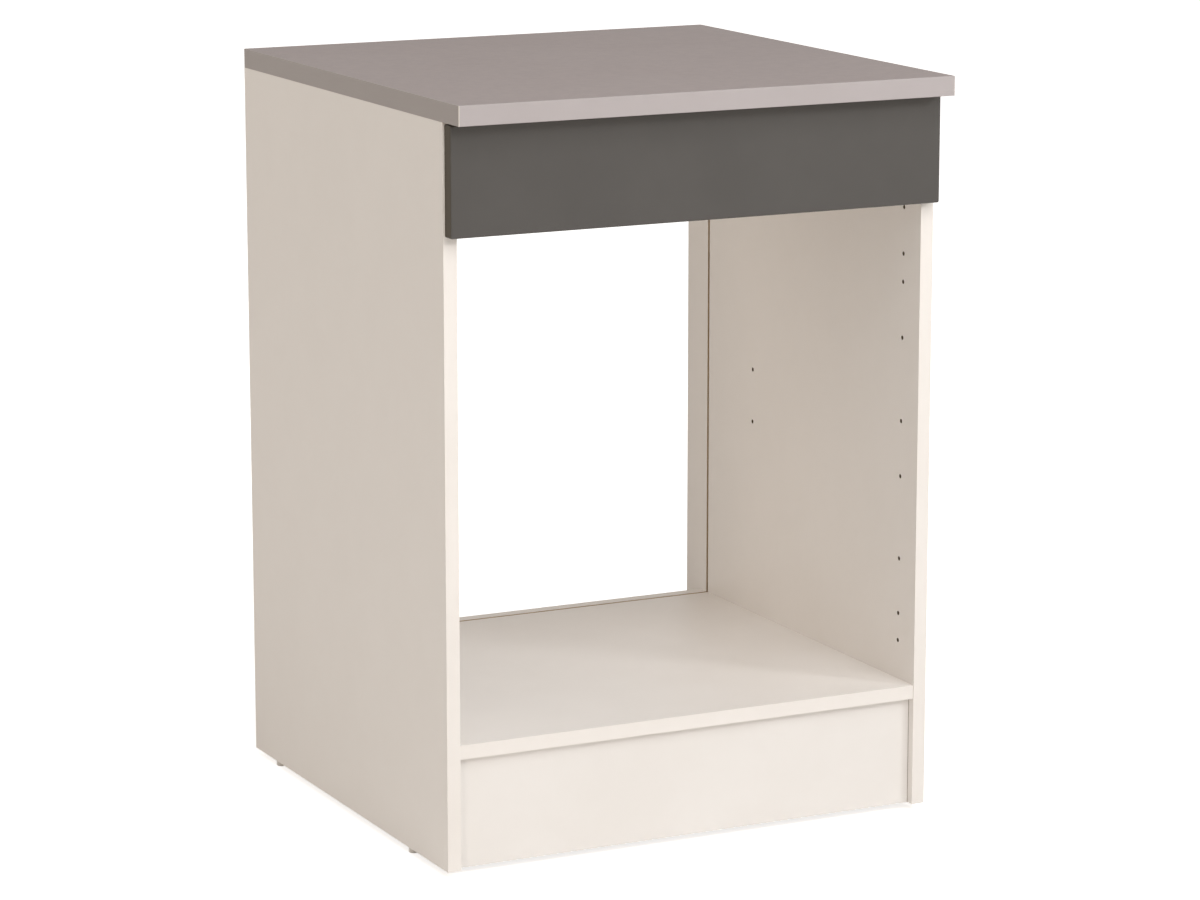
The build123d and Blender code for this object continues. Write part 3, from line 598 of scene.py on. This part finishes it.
def make_fasteners(name, tree, seats, sizes, finish, node):
    """Run a tree on its seats, each a place and a direction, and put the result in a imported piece's place."""
    mesh = bpy.data.meshes.new(name + "_seats")
    mesh.from_pydata([seat for seat, direction in seats], [], [])
    directions = mesh.attributes.new("direction", "FLOAT_VECTOR", "POINT")
    for row, (seat, direction) in enumerate(seats):
        directions.data[row].vector = direction
    fasteners = bpy.data.objects.new(name, mesh)
    bpy.context.scene.collection.objects.link(fasteners)
    modifier = fasteners.modifiers.new("shape", "NODES")
    modifier.node_group = tree
    for socket in tree.interface.items_tree:
        if socket.name in sizes:
            modifier[socket.identifier] = sizes[socket.name]
        elif socket.name == "Finish":
            modifier[socket.identifier] = finish
    ready = fasteners.evaluated_get(bpy.context.evaluated_depsgraph_get())
    made = bpy.data.meshes.new_from_object(ready)
    fasteners.modifiers.remove(modifier)
    made.name = name
    made.materials.clear()
    made.materials.append(finish)
    made.shade_smooth()
    made.set_sharp_from_angle(angle=math.radians(35))
    fasteners.data = made
    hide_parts(node)
    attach(fasteners, "carcass")


screw, sizes, result = new_shape("chipboard_screw", {
    "Head Radius": 0.0035, "Head Height": 0.0024, "Thread Radius": 0.00175, "Thread Depth": 0.00055,
    "Pitch": 0.0016, "Length": 0.014,
})
domed_head = [(0.0, 1.0), (0.40, 0.97), (0.66, 0.88), (0.84, 0.72), (0.95, 0.50),
              (1.0, 0.26), (1.0, 0.08), (0.97, 0.0), (0.0, 0.0)]
head_top = calculate(screw, "MULTIPLY", sizes["Head Height"], -1.0)
head = turned(screw, domed_head, sizes["Head Radius"], head_top)
arm_length = calculate(screw, "MULTIPLY", sizes["Head Radius"], 1.15)
arm_width = calculate(screw, "MULTIPLY", sizes["Head Radius"], 0.24)
recess_reach = calculate(screw, "MULTIPLY", sizes["Head Height"], 1.3)
recessed = add_node(screw, "GeometryNodeMeshBoolean", {"Mesh 1": head},
                    operation="DIFFERENCE", solver="EXACT")
at_top = add_node(screw, "ShaderNodeCombineXYZ", {"Z": head_top}).outputs[0]
for across, along in ((arm_length, arm_width), (arm_width, arm_length)):
    arm_size = add_node(screw, "ShaderNodeCombineXYZ", {"X": across, "Y": along, "Z": recess_reach})
    arm = add_node(screw, "GeometryNodeMeshCube", {"Size": arm_size.outputs[0]}).outputs["Mesh"]
    arm = add_node(screw, "GeometryNodeTransform", {"Geometry": arm, "Translation": at_top}).outputs[0]
    screw.links.new(arm, recessed.inputs["Mesh 2"])
shank = threaded(screw, sizes["Thread Radius"], sizes["Thread Depth"], sizes["Pitch"], sizes["Length"],
                 calculate(screw, "MULTIPLY", sizes["Thread Radius"], 2.0))
place_at_seats(screw, sizes, result, [recessed.outputs["Mesh"], shank])

fitting_steel = zinc_material("fitting_steel", paint(188, 189, 192), (1.0, 1.0, 1.0))
up = (0.0, 0.0, 1.0)
forward = (0.0, -1.0, 0.0)
bracket_screw_heights = (0.750, 0.782)
side_leg_x, side_leg_y = 0.282, -0.245
fascia_leg_x, fascia_leg_y = 0.271, -0.256
panel_screw_x, panel_screw_y, panel_screw_z = 0.160, -0.221, 0.127
plinth_screw_x, plinth_screw_y, plinth_screw_z = 0.140, -0.226, 0.122
rail_underside = 0.812
worktop_screw_x, worktop_screw_rows = 0.200, (-0.208, 0.214)

bracket_seats, block_seats, worktop_seats = [], [], []
for side in (-1, 1):
    for height in bracket_screw_heights:
        bracket_seats.append(((side * side_leg_x, side_leg_y, height), (side, 0.0, 0.0)))
        bracket_seats.append(((side * fascia_leg_x, fascia_leg_y, height), forward))
    block_seats.append(((side * panel_screw_x, panel_screw_y, panel_screw_z), up))
    block_seats.append(((side * plinth_screw_x, plinth_screw_y, plinth_screw_z), forward))
    for row in worktop_screw_rows:
        worktop_seats.append(((side * worktop_screw_x, row, rail_underside), up))
make_fasteners("bracket_screws", screw, bracket_seats, {}, fitting_steel,
               "fascia_bracket_screws")
make_fasteners("block_screws", screw, block_seats, {"Length": 0.018}, fitting_steel,
               "plinth_block_screws")
make_fasteners("worktop_fixing_screws", screw, worktop_seats, {
    "Head Radius": 0.004, "Thread Radius": 0.002, "Thread Depth": 0.0006, "Pitch": 0.0018, "Length": 0.030,
}, fitting_steel, "worktop_screws")

# Cam bolts
# Turned steel bolts, screwed into the sides as far as their collar. The round head at the other
# end lies in the cam, which draws the board tight against the side.

bolt, sizes, result = new_shape("cam_bolt", {
    "Collar Radius": 0.0039, "Collar Reach": 0.024, "Thread Radius": 0.00245, "Thread Depth": 0.0007,
    "Pitch": 0.0018, "Thread Length": 0.011,
})
# The turned outline, in millimetres, from the round head to the end of the collar.
collar_radius, collar_reach = 3.9, 24.0
bolt_outline = [(0.0, 2.4), (2.7, 2.4), (3.3, 2.9), (3.3, 4.0), (2.1, 6.0), (2.1, 8.5), (3.0, 8.5),
                (3.0, 12.0), (3.0, 16.0), (3.0, 21.5), (3.7, 21.5), (3.9, 21.7), (3.9, 22.8), (3.9, 23.8),
                (3.7, 24.0), (2.0, 24.0), (0.0, 24.0)]
bolt_shares = [(radius / collar_radius, reach / collar_reach) for radius, reach in bolt_outline]
bolt_body = turned(bolt, bolt_shares, sizes["Collar Radius"], sizes["Collar Reach"])
bolt_tip = calculate(bolt, "MULTIPLY", sizes["Thread Radius"], 0.8)
bolt_thread = threaded(bolt, sizes["Thread Radius"], sizes["Thread Depth"], sizes["Pitch"],
                       sizes["Thread Length"], bolt_tip)
beyond_collar = add_node(bolt, "ShaderNodeCombineXYZ", {"Z": sizes["Collar Reach"]}).outputs[0]
bolt_thread = add_node(bolt, "GeometryNodeTransform",
                       {"Geometry": bolt_thread, "Translation": beyond_collar}).outputs[0]
place_at_seats(bolt, sizes, result, [bolt_body, bolt_thread])

cam_x, cam_rows = 0.260, (-0.221, 0.195)
for name, node, height in (("bottom_bolts", "bottom_panel_cam_bolts", 0.141),
                           ("rail_bolts", "top_rail_cam_bolts", 0.820)):
    bolt_seats = [((side * cam_x, row, height), (side, 0.0, 0.0)) for side in (-1, 1) for row in cam_rows]
    make_fasteners(name, bolt, bolt_seats, {}, fitting_steel, node)

# Glide nails
# Ring-shanked steel nails, zinc plated, with flat round heads. One is driven up through each glide
# into the bottom end of a side.

nail, sizes, result = new_shape("ring_nail", {
    "Head Radius": 0.0025, "Head Height": 0.001, "Shank Radius": 0.001, "Ring Depth": 0.00015,
    "Ring Pitch": 0.0012, "Length": 0.019,
})
flat_head = [(0.0, 1.0), (0.80, 1.0), (0.93, 0.90), (1.0, 0.60), (1.0, 0.40),
             (1.0, 0.20), (0.98, 0.05), (0.95, 0.0), (0.0, 0.0)]
nail_top = calculate(nail, "MULTIPLY", sizes["Head Height"], -1.0)
nail_head = turned(nail, flat_head, sizes["Head Radius"], nail_top)
nail_tip = calculate(nail, "MULTIPLY", sizes["Shank Radius"], 2.5)
nail_shank = threaded(nail, sizes["Shank Radius"], sizes["Ring Depth"], sizes["Ring Pitch"],
                      sizes["Length"], nail_tip, helical=False)
place_at_seats(nail, sizes, result, [nail_head, nail_shank])

glide_x, glide_rows, nail_seat_height = 0.292, (-0.148, 0.240), 0.004
nail_seats = [((side * glide_x, row, nail_seat_height), up) for side in (-1, 1) for row in glide_rows]
make_fasteners("ring_nails", nail, nail_seats, {}, fitting_steel, "glide_nails")

# Cams
# Each cam is a drum of die-cast zinc alloy, left as it comes from the mould: grey, slightly grainy
# and dull. It sits loose in its bore and is turned with a screwdriver.

cam_metal, tree, shader, position = new_material("die_cast_zinc")
casting = cloud(tree, position, 1400.0, 4.0)
flow = cloud(tree, position, 160.0, 3.0)
grey = blend_colours(tree, spread(tree, flow, 0.3, 0.7), paint(150, 151, 154), paint(172, 173, 175))
tree.links.new(grey, shader.inputs["Base Color"])
tree.links.new(spread(tree, casting, 0.3, 0.7, 0.38, 0.55), shader.inputs["Roughness"])
add_relief(tree, shader, casting, 0.00003)
shader.inputs["Metallic"].default_value = 1.0
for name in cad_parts:
    if name.startswith("cam_"):
        finish_node(name, cam_metal)

# Dowels
# Beech pegs, turned and then pressed with flutes that let the glue spread. They are glued half in
# a side and half in a board's end.

beech, tree, shader, position = new_material("beech")
fibre = cloud(tree, stretch(tree, position, (0.06, 1.0, 1.0)), 2200.0, 3.0)
wood = blend_colours(tree, spread(tree, fibre, 0.3, 0.7), paint(206, 172, 128), paint(226, 196, 154))
tree.links.new(wood, shader.inputs["Base Color"])
shader.inputs["Roughness"].default_value = 0.7

dowel, sizes, result = new_shape("fluted_dowel", {"Radius": 0.004, "Length": 0.030, "Flute Depth": 0.08})
dowel_outline = [(0.0, 0.0), (0.84, 0.0), (1.0, 0.05), (1.0, 0.25), (1.0, 0.50),
                 (1.0, 0.75), (1.0, 0.95), (0.84, 1.0), (0.0, 1.0)]
flutes, points_around = 16.0, 97
sheet, share, angle = wrapped_sheet(dowel, len(dowel_outline), points_around)
wave = calculate(dowel, "COSINE", calculate(dowel, "MULTIPLY", angle, flutes))
flute_share = calculate(dowel, "SUBTRACT", 0.5, calculate(dowel, "MULTIPLY", wave, 0.5))
pressed = calculate(dowel, "MULTIPLY", flute_share, sizes["Flute Depth"])
fluted = calculate(dowel, "MULTIPLY", sizes["Radius"], calculate(dowel, "SUBTRACT", 1.0, pressed))
width_share = steps_along(dowel, share, [point[0] for point in dowel_outline])
length_share = steps_along(dowel, share, [point[1] for point in dowel_outline])
wide = calculate(dowel, "MULTIPLY", width_share, fluted)
tall = calculate(dowel, "MULTIPLY", length_share, sizes["Length"])
place_at_seats(dowel, sizes, result, [wrap(dowel, sheet, wide, angle, tall)])

# Each place is the Y and Z of a peg, and its inner end lies at the same X in every board.
inner_end = 0.266
for name, node, places in (
    ("bottom_dowels", "bottom_panel_dowels", ((-0.157, 0.141), (0.131, 0.141))),
    ("rail_dowels", "top_rail_dowels", ((-0.189, 0.820), (0.227, 0.820))),
    ("plinth_pegs", "plinth_dowels", ((-0.240, 0.043), (-0.240, 0.098))),
):
    dowel_seats = [((side * inner_end, y, z), (side, 0.0, 0.0)) for side in (-1, 1) for y, z in places]
    make_fasteners(name, dowel, dowel_seats, {}, beech, node)

# Corner blocks and glides
# Moulded plastic: white blocks screwed behind the plinth board, and pale grey glides nailed under
# the sides.

moulded, inside, result = new_group(
    "moulded_plastic",
    {"Position": ("Vector", None), "Colour": ("Color", (0.8, 0.8, 0.8, 1.0))},
    {"Color": "Color", "Roughness": "Float", "Height": "Float"},
)
spark = cloud(moulded, inside["Position"], 2600.0, 2.0)
flow = cloud(moulded, inside["Position"], 120.0, 3.0)
tint = blend_colours(moulded, spread(moulded, flow, 0.3, 0.7), (0.95, 0.95, 0.95, 1.0), (1.0, 1.0, 1.0, 1.0))
moulded.links.new(blend_colours(moulded, 1.0, inside["Colour"], tint, "MULTIPLY"), result["Color"])
moulded.links.new(spread(moulded, spark, 0.3, 0.7, 0.42, 0.52), result["Roughness"])
moulded.links.new(spark, result["Height"])


def plastic_material(name, colour):
    """Moulded plastic of one colour."""
    material, tree, shader, position = new_material(name)
    use_group(tree, shader, moulded, {"Position": position, "Colour": colour}, 0.00002)
    return material


block_plastic = plastic_material("block_plastic", paint(224, 220, 214))
glide_plastic = plastic_material("glide_plastic", paint(238, 236, 233))
for side in ("left", "right"):
    finish_node(f"plinth_block_{side}", block_plastic)
    for end in ("front", "rear"):
        finish_node(f"glide_{end}_{side}", glide_plastic)

# Floor
# A plain white studio floor that keeps the unit's soft shadow. It brightens away from the unit, and
# can't be seen from below.


def seen_directly(tree):
    """1 for what the camera, a reflection or a clear piece shows, and 0 for the light that falls."""
    rays = add_node(tree, "ShaderNodeLightPath").outputs
    indirect = calculate(tree, "MAXIMUM", rays["Is Glossy Ray"], rays["Is Transmission Ray"])
    return calculate(tree, "MAXIMUM", rays["Is Camera Ray"], indirect)


floor_mesh = bpy.data.meshes.new("floor")
floor_shape = bmesh.new()
bmesh.ops.create_grid(floor_shape, x_segments=1, y_segments=1, size=30.0)
floor_shape.to_mesh(floor_mesh)
floor_shape.free()
floor = bpy.data.objects.new("floor", floor_mesh)
bpy.context.scene.collection.objects.link(floor)

floor_paint, tree, shader, position = new_material("floor_paint")
tree.nodes.remove(shader)
matt = add_node(tree, "ShaderNodeBsdfDiffuse", {"Color": (0.86, 0.86, 0.86, 1.0)}).outputs[0]
away = add_node(tree, "ShaderNodeVectorMath", {0: position}, operation="LENGTH").outputs["Value"]
brightening = spread(tree, away, 0.5, 1.9, 0.75, 1.0)
glow = calculate(tree, "MULTIPLY", seen_directly(tree), brightening)
lift = add_node(tree, "ShaderNodeEmission", {"Strength": glow}).outputs[0]
lit = add_node(tree, "ShaderNodeAddShader", {0: matt, 1: lift}).outputs[0]
from_below = add_node(tree, "ShaderNodeNewGeometry").outputs["Backfacing"]
clear = add_node(tree, "ShaderNodeBsdfTransparent").outputs[0]
mixed = add_node(tree, "ShaderNodeMixShader", {0: from_below, 1: lit, 2: clear}).outputs[0]
tree.links.new(mixed, tree.nodes["Material Output"].inputs["Surface"])
floor_mesh.materials.append(floor_paint)

# Light
# A small key lamp stands in front on the right, and wide ones in front and above. Two warm lamps,
# one low in front and one behind, light the left side. The room adds a faint warm light from all
# round, and shows as plain white behind the unit.

aim = Vector((0.0, -0.10, 0.42))
lamp_distance = 3.6


def add_lamp(name, azimuth, elevation, size, watts, colour):
    """A square lamp that faces the unit; azimuth is measured from the front, to the right."""
    turn, rise = math.radians(azimuth), math.radians(elevation)
    away = Vector((math.sin(turn) * math.cos(rise), -math.cos(turn) * math.cos(rise), math.sin(rise)))
    data = bpy.data.lights.new(name, "AREA")
    data.size = size
    data.energy = watts
    data.color = colour
    lamp = bpy.data.objects.new(name, data)
    lamp.location = aim + away * lamp_distance
    lamp.rotation_euler = away.to_track_quat("Z", "Y").to_euler()
    bpy.context.scene.collection.objects.link(lamp)


white = (1.0, 1.0, 1.0)
warm = (1.0, 0.89, 0.78)
add_lamp("key_lamp", 42.0, 25.0, 0.55, 28.0, white)
add_lamp("front_lamp", 5.0, 40.0, 2.5, 57.0, white)
add_lamp("low_front_lamp", 0.0, 8.0, 1.8, 3.5, white)
add_lamp("upper_lamp", -20.0, 65.0, 2.4, 26.0, white)
add_lamp("low_left_lamp", -50.0, -1.0, 0.7, 14.5, warm)
add_lamp("rear_left_lamp", -140.0, 28.0, 2.4, 27.0, warm)

room = bpy.data.worlds.new("room")
bpy.context.scene.world = room
room.use_nodes = True
tree = room.node_tree
background = tree.nodes["Background"]
room_light = (0.250, 0.224, 0.196, 1.0)
room_colour = blend_colours(tree, seen_directly(tree), room_light, (1.0, 1.0, 1.0, 1.0))
tree.links.new(room_colour, background.inputs["Color"])

bpy.context.scene.view_settings.view_transform = "Standard"
